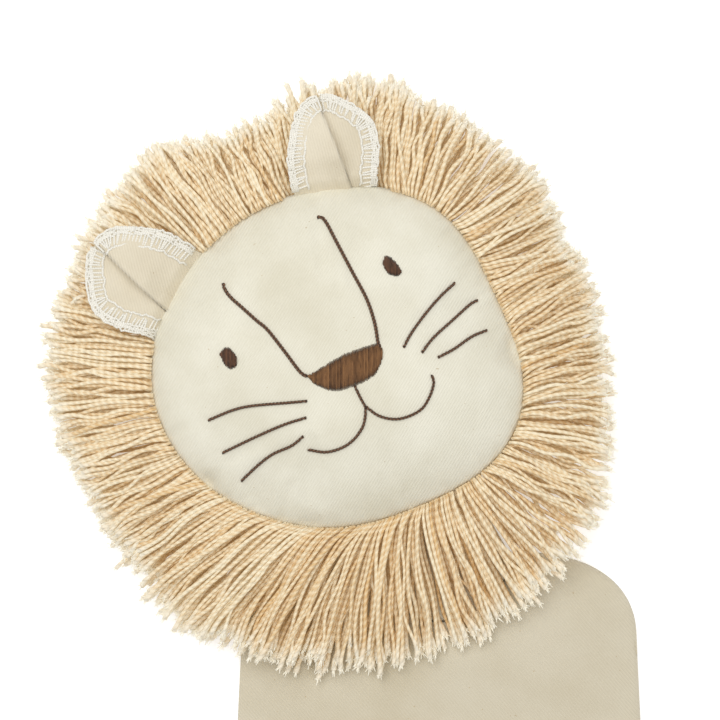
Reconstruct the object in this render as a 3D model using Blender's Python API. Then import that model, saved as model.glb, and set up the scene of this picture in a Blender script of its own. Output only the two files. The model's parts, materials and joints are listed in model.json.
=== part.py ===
"""Lion hand puppet of cotton twill with a mane of twisted cotton cords.

The puppet lies on its back: +Z is up, out of the face, +X is to its right in the
view from above, and +Y runs from the hem towards the head. The origin is the neck
pivot, on the outer face of the back panel. All sizes are in metres.
"""
import math

import bmesh
import bpy
from mathutils import Vector

# ---- driving dimensions ------------------------------------------------------

GAP = 0.0003                     # clearance between pieces that touch
CLOTH = 0.0008                   # one layer of twill

# body sleeve
SLEEVE_HALF_WIDTH = 0.070        # at the armpits, where the straight sides start
SLEEVE_LENGTH = 0.165            # neck pivot to hem
SIDE_FLARE = math.radians(2.7)
SHOULDER_DROP = 0.033            # neck pivot to the start of the straight sides
SHOULDER_TOP = 0.001             # the shoulder line ends this far below the pivot
SHOULDER_ROUNDNESS = 2.4
BACK_THICKNESS = 0.001
NECK_ARCH = 0.0084               # how far the front panel stands up at the neck
HEM_ARCH = 0.0120                # and at the hem
HEM_TURN = 0.020                 # depth of the turned hem
HEM_FACING_SHARE = 0.75
SEAM_ALLOWANCE = 0.007
SEAM_INSET = 0.008               # from the side edge, where the front panel has risen

# neck
NECK_HALF_WIDTH = 0.020
CHIN_REACH = 0.0145              # neck pivot to the seam under the chin
NECK_RADIUS = math.hypot(NECK_HALF_WIDTH, CHIN_REACH) + 3 * GAP   # clears its upper corners
NECK_UNDER_CORDS = 0.003         # top of the neck to the cords above it
NECK_FLOOR = BACK_THICKNESS + GAP
NECK_TAB = 0.009                 # the back panel runs on this far above the pivot
TAB_TAPER = 0.5
NECK_SQUARENESS = 4.0

# head
HEAD_TILT = math.radians(30.0)   # how far the head leans at rest
FACE_HALF_WIDTH = 0.0635
FACE_HALF_HEIGHT = 0.0615
HEAD_REACH = CHIN_REACH + FACE_HALF_HEIGHT   # neck pivot to the middle of the face
FACE_SQUARENESS = 2.15
FACE_WAVES = ((0.9845, 0.0), (0.0331, -0.003), (0.0159, -0.0288), (-0.0279, 0.0042),
              (-0.0055, 0.0063), (-0.0079, 0.0131), (-0.0014, 0.0044))
# cosine and sine parts of the outline's swells and hollows, once to six times round
SEAM_Z = 0.0185                  # height of the seam between face and back
SEAM_HALF = 0.0008               # each panel's edge keeps this far from the seam plane
DOME_RISE = 0.020                # how far the stuffed face stands above its seam
DOME_POWER = 3.0
BACK_FLAT = 0.45                 # share of the back panel that lies flat
BACK_POWER = 2.0
TAPE_WIDTH = 0.006
TAPE_INSET = 0.002
TAPE_THICKNESS = 0.0006
FILLING_SHARE = 0.86
FILLING_CLEAR = 0.0006           # stuffing above the finger pocket

# finger pocket
POCKET_WIDTH = 2 * NECK_HALF_WIDTH
POCKET_LENGTH = 0.065
POCKET_HEIGHT = 0.010
POCKET_FLOOR = 0.0014
NOTCH_CLEAR = 0.002              # the notch ends this far inside the flat of the back

# mane
FRINGE_TOP_LENGTH = 0.038        # how far the cords stand out above the head
FRINGE_CHEST_LENGTH = 0.046      # and below the chin
FRINGE_LAYER = 0.0035            # thickness of one layer of cords
FRINGE_CLEAR = 0.0004            # from the seam's edge to the cords
LAYER_GAP = 0.0010               # between the two layers of cords
NECK_HEIGHT = SEAM_Z - LAYER_GAP / 2 - FRINGE_LAYER - NECK_UNDER_CORDS - NECK_FLOOR
TIP_LOW = 0.0028                 # tip height of the back layer where it meets the table
CHEST_CLEAR = 0.0006             # back layer to the sleeve below it
CHEST_FULL = math.radians(32.0)
CHEST_NONE = math.radians(62.0)
NOD_RISE = 0.004                 # the nod axis lies this far above the seam, on the cords
CUT_CLEAR = 0.0006               # mane to the chin line

# ears
EAR_LENGTH = 0.032
EAR_WIDTH = 0.032
EAR_BASE_WIDTH = 0.0287
EAR_THICKNESS = 0.0022
EAR_SEAT = 0.001                 # ear cloth starts this far out from its hinge line
EAR_FULLNESS = 0.8
EAR_LIFT = 0.0004                # ear cloth above the cords
OVERLOCK_WIDTH = 0.0053
OVERLOCK_THICKNESS = 0.0007
EARS = {                         # place round the seam, then the lean of the ear's axis
    "left_ear": (math.radians(-36.2), math.radians(-33.0)),
    "right_ear": (math.radians(31.2), math.radians(23.0)),
}

# embroidery, in metres from the middle of the face: across, then up
THREAD_WIDTH = 0.0010            # a stem-stitched line
SATIN_THICKNESS = 0.0007         # nose and eyes
NOSE_CENTRE = (0.0040, 0.0003)
NOSE_HALF_WIDTH = 0.0137
NOSE_DEPTH = 0.0114
NOSE_SQUARENESS = 2.3
EYE_HALF_WIDTH = 0.0032
EYE_HALF_HEIGHT = 0.0042
EYE_LEAN = math.radians(15.0)
EYES = {"left_eye_embroidery": (-0.0290, 0.0190), "right_eye_embroidery": (0.0360, 0.0190)}
STITCHED_LINES = {
    "left_bridge_line": [(-0.0186, 0.0428), (-0.0192, 0.0390), (-0.0170, 0.0317),
                         (-0.0133, 0.0209), (-0.0115, 0.0105), (-0.0112, 0.0034)],
    "right_bridge_line": [(0.0210, 0.0463), (0.0227, 0.0425), (0.0221, 0.0229),
                          (0.0210, 0.0120), (0.0197, 0.0034)],
    "philtrum_line": [(0.0032, -0.0122), (0.0028, -0.0150), (0.0027, -0.0176)],
    "left_smile_line": [(0.0027, -0.0193), (0.0007, -0.0223), (-0.0066, -0.0269),
                        (-0.0115, -0.0273), (-0.0171, -0.0258), (-0.0219, -0.0221)],
    "right_smile_line": [(0.0046, -0.0202), (0.0068, -0.0250), (0.0134, -0.0293),
                         (0.0189, -0.0295), (0.0233, -0.0274), (0.0281, -0.0211)],
    "left_whisker_1": [(-0.0137, -0.0073), (-0.0311, 0.0008), (-0.0469, 0.0041)],
    "left_whisker_2": [(-0.0168, -0.0121), (-0.0350, -0.0092), (-0.0484, -0.0082)],
    "left_whisker_3": [(-0.0209, -0.0172), (-0.0333, -0.0173), (-0.0478, -0.0200)],
    "right_whisker_1": [(0.0243, -0.0079), (0.0368, -0.0016), (0.0512, 0.0026)],
    "right_whisker_2": [(0.0289, -0.0126), (0.0444, -0.0081), (0.0552, -0.0066)],
    "right_whisker_3": [(0.0329, -0.0168), (0.0469, -0.0165), (0.0528, -0.0173)],
}
ROUTE_STEP = 0.003               # spacing of the points along a stitched line

# resolution
FACE_CELLS = 16
RING_CELLS = 56
CUTTER_SIZE = 0.4


# ---- shapes ------------------------------------------------------------------

def half_width(y):
    """Half the sleeve's width at y: neck tab, then shoulder curve, then straight flare."""
    if y <= -SHOULDER_DROP:
        return SLEEVE_HALF_WIDTH + (-SHOULDER_DROP - y) * math.tan(SIDE_FLARE)
    if y > -SHOULDER_TOP:
        climb = (y + SHOULDER_TOP) / (NECK_TAB + SHOULDER_TOP)
        return NECK_RADIUS * (1 - TAB_TAPER * climb * climb)
    rise = (y + SHOULDER_DROP) / (SHOULDER_DROP - SHOULDER_TOP)
    run = (1 - min(rise, 1) ** SHOULDER_ROUNDNESS) ** (1 / SHOULDER_ROUNDNESS)
    return NECK_RADIUS + (SLEEVE_HALF_WIDTH - NECK_RADIUS) * run


def front_height(share, y):
    """Height of the front panel's inner face at a share of the half width."""
    along = (-y - SHOULDER_TOP) / (SLEEVE_LENGTH - SHOULDER_TOP)
    arch = NECK_ARCH + (HEM_ARCH - NECK_ARCH) * along
    return BACK_THICKNESS + GAP + arch * (1 - share * share)


def face_radius(angle):
    """Distance from the middle of the face to its seam; the angle turns left from +X."""
    across = abs(math.cos(angle) / FACE_HALF_WIDTH) ** FACE_SQUARENESS
    along = abs(math.sin(angle) / FACE_HALF_HEIGHT) ** FACE_SQUARENESS
    swell = sum(even * math.cos(turns * angle) + odd * math.sin(turns * angle)
                for turns, (even, odd) in enumerate(FACE_WAVES))
    return swell * (across + along) ** (-1 / FACE_SQUARENESS)


def dome_height(u, v):
    """Height of the face's outer side, a pillow that is highest in the middle."""
    share = math.hypot(u, v) / face_radius(math.atan2(v, u))
    return SEAM_Z + SEAM_HALF + DOME_RISE * (1 - min(share, 1) ** DOME_POWER)


def back_height(share):
    """Height of the head's back side: flat in the middle, rising to the seam."""
    climb = max(0.0, share - BACK_FLAT) / (1 - BACK_FLAT)
    return (SEAM_Z - SEAM_HALF) * climb ** BACK_POWER


def square_to_disc(s, t):
    """Map the square -1..1 to polar form, share of the radius and angle, evenly spaced."""
    if s == 0 and t == 0:
        return 0.0, 0.0
    if abs(s) > abs(t):
        return abs(s), math.pi / 4 * (t / s) + (math.pi if s < 0 else 0)
    return abs(t), math.pi / 2 - math.pi / 4 * (s / t) + (math.pi if t < 0 else 0)


def face_point(s, t, shrink=1.0):
    """A point of the face's plan: across, up, and its share of the radius."""
    share, angle = square_to_disc(s, t)
    radius = face_radius(angle) * share * shrink
    return radius * math.cos(angle), radius * math.sin(angle), share * shrink


def smooth_route(points):
    """Points every few millimetres along a smooth curve through the given ones."""
    padded = [points[0]] + points + [points[-1]]
    route = []
    for a, b, c, d in zip(padded, padded[1:], padded[2:], padded[3:]):
        steps = max(1, math.ceil(math.dist(b, c) / ROUTE_STEP))
        for step in range(steps):
            k = step / steps
            route.append(tuple(
                0.5 * (2 * b[i] + (c[i] - a[i]) * k
                       + (2 * a[i] - 5 * b[i] + 4 * c[i] - d[i]) * k * k
                       + (3 * b[i] - a[i] - 3 * c[i] + d[i]) * k ** 3)
                for i in range(2)))
    return route + [points[-1]]


# ---- making objects ----------------------------------------------------------

def clear_scene():
    for item in list(bpy.data.objects):
        bpy.data.objects.remove(item, do_unlink=True)


def cloth_material(name, colour, roughness=0.9):
    material = bpy.data.materials.new(name)
    material.use_nodes = True
    shader = material.node_tree.nodes["Principled BSDF"]
    shader.inputs["Base Color"].default_value = (*colour, 1)
    shader.inputs["Roughness"].default_value = roughness
    shader.inputs["Metallic"].default_value = 0
    return material


def add_empty(name, parent=None, location=(0, 0, 0), turn=0.0):
    empty = bpy.data.objects.new(name, None)
    bpy.context.collection.objects.link(empty)
    empty.parent = parent
    empty.location = location
    empty.rotation_euler = (0, 0, turn)
    return empty


def add_object(name, data, material, parent=None, location=(0, 0, 0), turn=0.0):
    item = bpy.data.objects.new(name, data)
    bpy.context.collection.objects.link(item)
    if material:
        data.materials.append(material)
    item.parent = parent
    item.location = location
    item.rotation_euler = (0, 0, turn)
    return item


def slab_mesh(name, columns, rows, upper, lower, ring=False):
    """A closed sheet: a grid placed by lower(s, t), extruded to upper(s, t), -1 <= s, t <= 1.

    With ring, s runs once round and its two ends are joined.
    """
    sheet = bmesh.new()
    bmesh.ops.create_grid(sheet, x_segments=columns, y_segments=rows, size=1)
    if ring:
        for vertex in sheet.verts:
            s, t, _ = vertex.co
            reach = 2 + t
            vertex.co = (reach * math.cos(math.pi * s), reach * math.sin(math.pi * s), 0)
        bmesh.ops.remove_doubles(sheet, verts=sheet.verts, dist=0.0001)
    raised = bmesh.ops.extrude_face_region(sheet, geom=sheet.faces[:])
    top = {item for item in raised["geom"] if isinstance(item, bmesh.types.BMVert)}
    for vertex in sheet.verts:
        x, y, _ = vertex.co
        s, t = (math.atan2(y, x) / math.pi, math.hypot(x, y) - 2) if ring else (x, y)
        vertex.co = upper(s, t) if vertex in top else lower(s, t)
    bmesh.ops.recalc_face_normals(sheet, faces=sheet.faces)
    mesh = bpy.data.meshes.new(name)
    sheet.to_mesh(mesh)
    sheet.free()
    mesh.shade_smooth()
    mesh.set_sharp_from_angle(angle=math.radians(40))
    return mesh


def box_mesh(name, low, high):
    """A plain box from its lowest to its highest corner."""
    box = bmesh.new()
    bmesh.ops.create_cube(box, size=1)
    low, high = Vector(low), Vector(high)
    for vertex in box.verts:
        vertex.co = [(a + b) / 2 + c * (b - a) for a, b, c in zip(low, high, vertex.co)]
    mesh = bpy.data.meshes.new(name)
    box.to_mesh(mesh)
    box.free()
    return mesh


def cut_away(item, cutter):
    """Subtract a cutter from an object and leave the cutter as a guide."""
    cutter.hide_render = True
    cutter.display_type = "WIRE"
    cut = item.modifiers.new("cut", "BOOLEAN")
    cut.operation = "DIFFERENCE"
    cut.solver = "EXACT"
    cut.object = cutter


def disc_cutter(name, radius):
    """An upright round cutter through the whole height of the object."""
    disc = bmesh.new()
    bmesh.ops.create_cone(disc, cap_ends=True, segments=RING_CELLS, radius1=radius,
                          radius2=radius, depth=CUTTER_SIZE)
    mesh = bpy.data.meshes.new(name)
    disc.to_mesh(mesh)
    disc.free()
    return add_object(name, mesh, None)


# ---- sleeve ------------------------------------------------------------------

def sleeve_sheet(name, cells, shares, ys, upper, lower, material):
    """A sheet of the sleeve between two shares of its half width and two heights y."""
    def place(s, t, height):
        share = shares[0] + (shares[1] - shares[0]) * (s + 1) / 2
        y = ys[0] + (ys[1] - ys[0]) * (t + 1) / 2
        return share * half_width(y), y, height(share, y)

    mesh = slab_mesh(name, *cells, lambda s, t: place(s, t, upper),
                     lambda s, t: place(s, t, lower))
    return add_object(name, mesh, material)


def build_sleeve(twill, lining):
    hem, top = -SLEEVE_LENGTH, -SHOULDER_TOP - GAP
    neck_hole = disc_cutter("neck_hole", NECK_RADIUS + GAP)
    front = sleeve_sheet("body_front_panel", (20, 14), (-1, 1), (hem, top),
                         lambda share, y: front_height(share, y) + CLOTH,
                         front_height, twill)
    cut_away(front, neck_hole)
    sleeve_sheet("body_back_panel", (6, 16), (-1, 1), (hem, NECK_TAB),
                 lambda share, y: BACK_THICKNESS, lambda share, y: 0.0, twill)

    turn = (hem, hem + HEM_TURN)
    sleeve_sheet("front_hem_facing", (14, 2), (-HEM_FACING_SHARE, HEM_FACING_SHARE), turn,
                 lambda share, y: front_height(share, y) - GAP,
                 lambda share, y: front_height(share, y) - GAP - CLOTH, lining)
    floor = BACK_THICKNESS + GAP
    sleeve_sheet("back_hem_facing", (6, 2), (-HEM_FACING_SHARE, HEM_FACING_SHARE), turn,
                 lambda share, y: floor + CLOTH, lambda share, y: floor, lining)
    build_side_seams(lining, floor)


def build_side_seams(lining, floor):
    """The two seam allowances, inside the sleeve along its straight sides."""
    for side, name in ((-1, "left_side_seam"), (1, "right_side_seam")):
        def place(s, t, z, side=side):
            low = -SLEEVE_LENGTH + HEM_TURN + GAP
            y = low + (-SHOULDER_DROP - low) * (t + 1) / 2
            inset = SEAM_INSET + SEAM_ALLOWANCE * (1 - side * s) / 2
            return side * (half_width(y) - inset), y, z

        mesh = slab_mesh(name, 1, 6, lambda s, t: place(s, t, floor + CLOTH),
                         lambda s, t: place(s, t, floor))
        add_object(name, mesh, lining)


# ---- neck --------------------------------------------------------------------

def build_neck(twill, pivot):
    """A flat tube whose lower end is round about the tilt pivot."""
    def place(s, t, wall):
        angle = math.pi * s
        power = 2 / NECK_SQUARENESS
        across, upright = math.cos(angle), math.sin(angle)
        x = (NECK_HALF_WIDTH - wall) * math.copysign(abs(across) ** power, across)
        half = NECK_HEIGHT / 2 - wall
        z = NECK_FLOOR + NECK_HEIGHT / 2 + half * math.copysign(abs(upright) ** power, upright)
        low = -math.sqrt(max(NECK_RADIUS ** 2 - x * x, 0))
        high = CHIN_REACH - GAP
        return x, low + (high - low) * (t + 1) / 2, z

    mesh = slab_mesh("neck_tube", 32, 2, lambda s, t: place(s, t, 0.0),
                     lambda s, t: place(s, t, CLOTH), ring=True)
    add_object("neck_tube", mesh, twill, pivot)


# ---- head --------------------------------------------------------------------

def build_face(twill, head):
    """The padded face: a domed panel with a thin wall."""
    def place(s, t, wall):
        u, v, share = face_point(s, t, 1 - wall / FACE_HALF_WIDTH)
        return u, v, dome_height(u, v) - wall * 1.3

    mesh = slab_mesh("face_panel", FACE_CELLS, FACE_CELLS,
                     lambda s, t: place(s, t, 0.0),
                     lambda s, t: (*place(s, t, CLOTH)[:2],
                                   max(place(s, t, CLOTH)[2], SEAM_Z + GAP)))
    return add_object("face_panel", mesh, twill, *head)


def build_back(twill, head):
    """The head's back panel, a shallow bowl with a notch where the neck goes in."""
    def place(s, t, wall):
        u, v, share = face_point(s, t, 1 - wall / FACE_HALF_WIDTH)
        return u, v, min(back_height(share) + wall * 1.3, SEAM_Z - GAP)

    mesh = slab_mesh("head_back_panel", FACE_CELLS, FACE_CELLS,
                     lambda s, t: place(s, t, CLOTH), lambda s, t: place(s, t, 0.0))
    back = add_object("head_back_panel", mesh, twill, *head)
    half = POCKET_WIDTH / 2 + GAP
    flat_share = math.sqrt(BACK_FLAT ** 2 - (half / FACE_HALF_WIDTH) ** 2)
    notch_end = -flat_share * FACE_HALF_HEIGHT + NOTCH_CLEAR
    notch = add_object("neck_notch", box_mesh(
        "neck_notch", (-half, -CUTTER_SIZE, -CUTTER_SIZE),
        (half, notch_end, POCKET_FLOOR + POCKET_HEIGHT + GAP)), None, *head)
    cut_away(back, notch)


def build_tape(tape_cotton, head):
    """The woven heading that the mane's cords hang from, held inside the seam."""
    def place(s, t, z):
        angle = math.pi * s
        radius = face_radius(angle) - TAPE_INSET - TAPE_WIDTH * (1 - t) / 2
        return radius * math.cos(angle), radius * math.sin(angle), z

    mesh = slab_mesh("mane_heading_tape", RING_CELLS, 1,
                     lambda s, t: place(s, t, SEAM_Z + TAPE_THICKNESS / 2),
                     lambda s, t: place(s, t, SEAM_Z - TAPE_THICKNESS / 2), ring=True)
    add_object("mane_heading_tape", mesh, tape_cotton, *head)


def build_filling(fibre, head):
    """The stuffing between the face and the finger pocket."""
    def place(s, t, upper):
        u, v, share = face_point(s, t, FILLING_SHARE)
        floor = POCKET_FLOOR + POCKET_HEIGHT + FILLING_CLEAR
        return u, v, dome_height(u, v) - 2.2 * CLOTH if upper else floor

    mesh = slab_mesh("head_filling", 10, 10, lambda s, t: place(s, t, True),
                     lambda s, t: place(s, t, False))
    add_object("head_filling", mesh, fibre, *head)


def build_pocket(lining, head):
    """The pocket for the fingers: a flat pouch, open towards the neck."""
    low_v = -FACE_HALF_HEIGHT + GAP
    half, ceiling = POCKET_WIDTH / 2, POCKET_FLOOR + POCKET_HEIGHT
    pouch = add_object("finger_pocket", box_mesh(
        "finger_pocket", (-half, low_v, POCKET_FLOOR), (half, low_v + POCKET_LENGTH, ceiling)),
        lining, *head)
    inside = add_object("pocket_inside", box_mesh(
        "pocket_inside", (-half + CLOTH, -CUTTER_SIZE, POCKET_FLOOR + CLOTH),
        (half - CLOTH, low_v + POCKET_LENGTH - CLOTH, ceiling - CLOTH)), None, *head)
    cut_away(pouch, inside)


# ---- mane --------------------------------------------------------------------

def below_chin(angle):
    """How much a direction from the face's middle points down the chest, from 0 to 1."""
    off = abs(math.remainder(angle + math.pi / 2, 2 * math.pi))
    share = min(max((CHEST_NONE - off) / (CHEST_NONE - CHEST_FULL), 0), 1)
    return share * share * (3 - 2 * share)


def fringe_point(s, t, side, front):
    """A point of a layer of cords: side -1 is its underside, 1 its upper side.

    The layer leaves the seam level, then droops to the table, or on the chest only to
    the sleeve below it. The front layer lies on the back one.
    """
    angle = math.pi * s
    out = max(t + 1, 0) / 2
    chest = below_chin(angle)
    length = FRINGE_TOP_LENGTH + (FRINGE_CHEST_LENGTH - FRINGE_TOP_LENGTH) * chest
    radius = face_radius(angle) + FRINGE_CLEAR + length * out
    root = SEAM_Z - LAYER_GAP / 2 - FRINGE_LAYER / 2
    sleeve_top = BACK_THICKNESS + GAP + NECK_ARCH + CLOTH
    chest_tip = sleeve_top + CHEST_CLEAR + FRINGE_LAYER
    tip = TIP_LOW + (chest_tip - TIP_LOW) * chest
    level = root + (tip - root) * out ** 1.8
    if front:
        level += FRINGE_LAYER + LAYER_GAP
    z = level + side * FRINGE_LAYER / 2
    return radius * math.cos(angle), radius * math.sin(angle), z


def build_mane(cotton, pivot, head):
    """Two layers of cords, each split along the chin line into mane and beard."""
    mane_cutter = add_object("chest_side", box_mesh(
        "chest_side", (-CUTTER_SIZE, -CUTTER_SIZE, -CUTTER_SIZE), (CUTTER_SIZE, 0, CUTTER_SIZE)),
        None, pivot, (0, CHIN_REACH + CUT_CLEAR, 0))
    beard_cutter = add_object("head_side", box_mesh(
        "head_side", (-CUTTER_SIZE, 0, -CUTTER_SIZE), (CUTTER_SIZE, CUTTER_SIZE, CUTTER_SIZE)),
        None, pivot, (0, CHIN_REACH - GAP, 0))
    for layer, front in (("front", True), ("back", False)):
        for piece, place, cutter in (("mane", head, mane_cutter),
                                     ("beard", (pivot, (0, HEAD_REACH, 0)), beard_cutter)):
            name = f"{piece}_{layer}_fringe"
            mesh = slab_mesh(name, RING_CELLS, 4,
                             lambda s, t: fringe_point(s, t, 1, front),
                             lambda s, t: fringe_point(s, t, -1, front), ring=True)
            cut_away(add_object(name, mesh, cotton, *place), cutter)


# ---- ears --------------------------------------------------------------------

def ear_edge(s, width, length):
    """The ear's edge from its left corner over the tip to its right corner."""
    angle = math.pi / 2 * s
    rise = math.cos(angle) ** EAR_FULLNESS if abs(s) < 1 else 0.0
    pinch = EAR_BASE_WIDTH / EAR_WIDTH
    across = math.sin(angle) * (pinch + (1 - pinch) * math.sin(math.pi * min(2 * rise, 1)))
    return width / 2 * across, length * rise


def build_ear(name, seat, lean, twill, overlock_thread, chin_hinge, head_offset):
    """One ear and the overlocked band along its edge, on a hinge at the head's seam."""
    radius = face_radius(math.pi / 2 - seat)
    cords_top = SEAM_Z + FRINGE_LAYER + LAYER_GAP
    place = Vector((radius * math.sin(seat), radius * math.cos(seat), cords_top)) + head_offset
    hinge = add_empty(f"{name}_hinge", chin_hinge, place, -lean)

    def cloth(s, t, z):
        edge_x, edge_y = ear_edge(s, EAR_WIDTH, EAR_LENGTH)
        base_x = s * EAR_BASE_WIDTH / 2 * 0.75
        out = (t + 1) / 2
        return base_x + (edge_x - base_x) * out, EAR_SEAT + edge_y * out, z

    floor = EAR_LIFT
    mesh = slab_mesh(f"{name}_cloth", 16, 4, lambda s, t: cloth(s, t, floor + EAR_THICKNESS),
                     lambda s, t: cloth(s, t, floor))
    add_object(f"{name}_cloth", mesh, twill, hinge)

    def band(s, t, z):
        inset = OVERLOCK_WIDTH * (1 - t) / 2
        x, y = ear_edge(s * 0.98, EAR_WIDTH - 2 * inset, EAR_LENGTH - inset)
        return x, EAR_SEAT + y, z

    top = floor + EAR_THICKNESS + GAP
    mesh = slab_mesh(f"{name}_overlock", 20, 1,
                     lambda s, t: band(s, t, top + OVERLOCK_THICKNESS),
                     lambda s, t: band(s, t, top))
    add_object(f"{name}_overlock", mesh, overlock_thread, hinge)


# ---- embroidery --------------------------------------------------------------

def build_patch(name, centre, outline, thread, head):
    """A satin-stitched patch that follows the face; outline(angle) is its radius."""
    def place(s, t, lift):
        share, angle = square_to_disc(s, t)
        u = centre[0] + outline(angle)[0] * share
        v = centre[1] + outline(angle)[1] * share
        return u, v, dome_height(u, v) + lift

    mesh = slab_mesh(name, 8, 8, lambda s, t: place(s, t, GAP + SATIN_THICKNESS),
                     lambda s, t: place(s, t, GAP))
    add_object(name, mesh, thread, *head)


def nose_outline(angle):
    """Nearly flat on top, and a deep round below."""
    across, along = math.cos(angle), math.sin(angle)
    depth = NOSE_DEPTH if along < 0 else NOSE_DEPTH * 0.08
    power = 2 / NOSE_SQUARENESS
    return (NOSE_HALF_WIDTH * math.copysign(abs(across) ** power, across),
            depth * math.copysign(abs(along) ** power, along))


def eye_outline(angle):
    """A drop whose narrow end leans to the left."""
    along = math.sin(angle)
    across = EYE_HALF_WIDTH * math.cos(angle) * (1 - 0.3 * along)
    along *= EYE_HALF_HEIGHT
    return (across * math.cos(EYE_LEAN) - along * math.sin(EYE_LEAN),
            across * math.sin(EYE_LEAN) + along * math.cos(EYE_LEAN))


def build_line(name, points, thread, head):
    """A stem-stitched line: a thread laid along a smooth route on the face."""
    curve = bpy.data.curves.new(name, "CURVE")
    curve.dimensions = "3D"
    curve.bevel_depth = THREAD_WIDTH / 2
    curve.bevel_resolution = 1
    curve.use_fill_caps = True
    route = smooth_route(points)
    spline = curve.splines.new("POLY")
    spline.points.add(len(route) - 1)
    for point, (u, v) in zip(spline.points, route):
        point.co = (u, v, dome_height(u, v) + GAP + THREAD_WIDTH * 0.75, 1)
    add_object(name, curve, thread, *head)


def build_embroidery(thread, head):
    build_patch("nose_embroidery", NOSE_CENTRE, nose_outline, thread, head)
    for name, centre in EYES.items():
        build_patch(name, centre, eye_outline, thread, head)
    for name, points in STITCHED_LINES.items():
        build_line(name, points, thread, head)


# ---- assembly ----------------------------------------------------------------

def build_puppet():
    twill = cloth_material("cotton_twill", (0.79, 0.75, 0.62))
    lining = cloth_material("cotton_lining", (0.83, 0.79, 0.68))
    cords = cloth_material("cotton_cord", (0.71, 0.57, 0.38))
    fibre = cloth_material("polyester_fibre", (0.9, 0.9, 0.88), 1.0)
    thread = cloth_material("embroidery_thread", (0.07, 0.03, 0.016), 0.6)
    overlock_thread = cloth_material("overlock_thread", (0.86, 0.83, 0.77), 0.8)

    pivot = add_empty("neck_pivot", turn=HEAD_TILT)
    hinge_height = SEAM_Z + NOD_RISE
    chin_hinge = add_empty("chin_hinge", pivot, (0, CHIN_REACH, hinge_height))
    head_offset = Vector((0, FACE_HALF_HEIGHT, -hinge_height))
    head = (chin_hinge, head_offset)

    build_sleeve(twill, lining)
    build_neck(twill, pivot)
    build_face(twill, head)
    build_back(twill, head)
    build_tape(cords, head)
    build_filling(fibre, head)
    build_pocket(lining, head)
    build_mane(cords, pivot, head)
    for name, (seat, lean) in EARS.items():
        build_ear(name, seat, lean, twill, overlock_thread, chin_hinge, head_offset)
    build_embroidery(thread, head)


clear_scene()
build_puppet()
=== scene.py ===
"""Looks of a lion hand puppet: cotton twill, undyed cotton cords and brown embroidery."""
import json
import math

import bpy
import numpy as np
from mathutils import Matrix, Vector


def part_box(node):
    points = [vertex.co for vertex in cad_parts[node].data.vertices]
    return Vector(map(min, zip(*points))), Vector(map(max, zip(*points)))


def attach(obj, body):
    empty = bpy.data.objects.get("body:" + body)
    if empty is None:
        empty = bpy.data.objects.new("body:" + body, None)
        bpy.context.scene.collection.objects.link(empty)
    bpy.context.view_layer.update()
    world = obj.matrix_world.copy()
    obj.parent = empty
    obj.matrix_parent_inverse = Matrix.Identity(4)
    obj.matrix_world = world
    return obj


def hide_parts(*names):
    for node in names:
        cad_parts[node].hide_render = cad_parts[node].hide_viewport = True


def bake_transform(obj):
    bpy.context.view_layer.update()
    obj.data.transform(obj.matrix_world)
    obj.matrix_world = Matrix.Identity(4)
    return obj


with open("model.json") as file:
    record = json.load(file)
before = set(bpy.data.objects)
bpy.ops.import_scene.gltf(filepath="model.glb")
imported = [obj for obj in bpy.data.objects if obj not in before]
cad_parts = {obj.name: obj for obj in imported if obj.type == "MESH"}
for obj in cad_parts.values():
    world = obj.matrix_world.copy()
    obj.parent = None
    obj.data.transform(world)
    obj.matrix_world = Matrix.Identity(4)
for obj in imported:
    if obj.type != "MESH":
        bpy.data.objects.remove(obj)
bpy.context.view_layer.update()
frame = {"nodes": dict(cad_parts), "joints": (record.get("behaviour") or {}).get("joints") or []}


# ==== Body sleeve: back panel and front panel ===============================================
# Two pieces of undyed cotton twill, cut to one outline and sewn together inside out along the
# sides and shoulders, so that the seam rolls over into a soft edge. The empty sleeve lies
# nearly flat, with a little air in the middle.
CLOTH = 0.0008
SLEEVE_HALF_WIDTH = 0.070
SLEEVE_LENGTH = 0.165
SIDE_FLARE = math.radians(2.7)
SHOULDER_START = -0.033
SHOULDER_END = -0.001
SHOULDER_ROUNDNESS = 2.4
NECK_RADIUS = 0.0253
BACK_THICKNESS = 0.001
GAP = 0.0003
NECK_ARCH = 0.0084
HEM_ARCH = 0.0120
HEM_TURN = 0.018
HEM_DENT, HEM_DENT_WIDTH = 0.00035, 0.0009
SEAM_ROLL = 0.0010               # how far the rolled seam drops at the sides
SLEEVE_CREASE = 0.00055
SLEEVE_ROWS, SLEEVE_COLUMNS = 130, 110
TWILL_PITCH = 0.00095            # distance between the twill's diagonal ribs
YARN_PITCH = 0.00048             # distance between neighbouring yarns
WAVE_BAND = 2 * math.pi / 20     # a wave texture's period at scale 1
CLOUDS = 38.0                    # in a metre, so each is about 26 mm across
SLUBS = 900.0                    # in a metre, so each is about 1.1 mm long, as the specks are
WEAVE_RELIEF = 0.00016
BODY_TWILL_ANGLE = math.radians(130.5)
TWILL_LIGHT, TWILL_DARK = "#eae6d5", "#d8d2bc"
# painted shade: the body's twill is the same cloth as the face's, painted darker for the shade it
# lies in under the mane
SHADED_BODY_LIGHT, SHADED_BODY_DARK = "#d3cab4", "#c6bba1"
SPECK = "#b39b72"


def linear(colour):
    """An sRGB hex colour as linear RGBA: each channel c goes to ((c + 0.055) / 1.055) ** 2.4."""
    channels = [int(colour[i:i + 2], 16) / 255 for i in (1, 3, 5)]
    return (*(c / 12.92 if c <= 0.04045 else ((c + 0.055) / 1.055) ** 2.4 for c in channels), 1)


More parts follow.
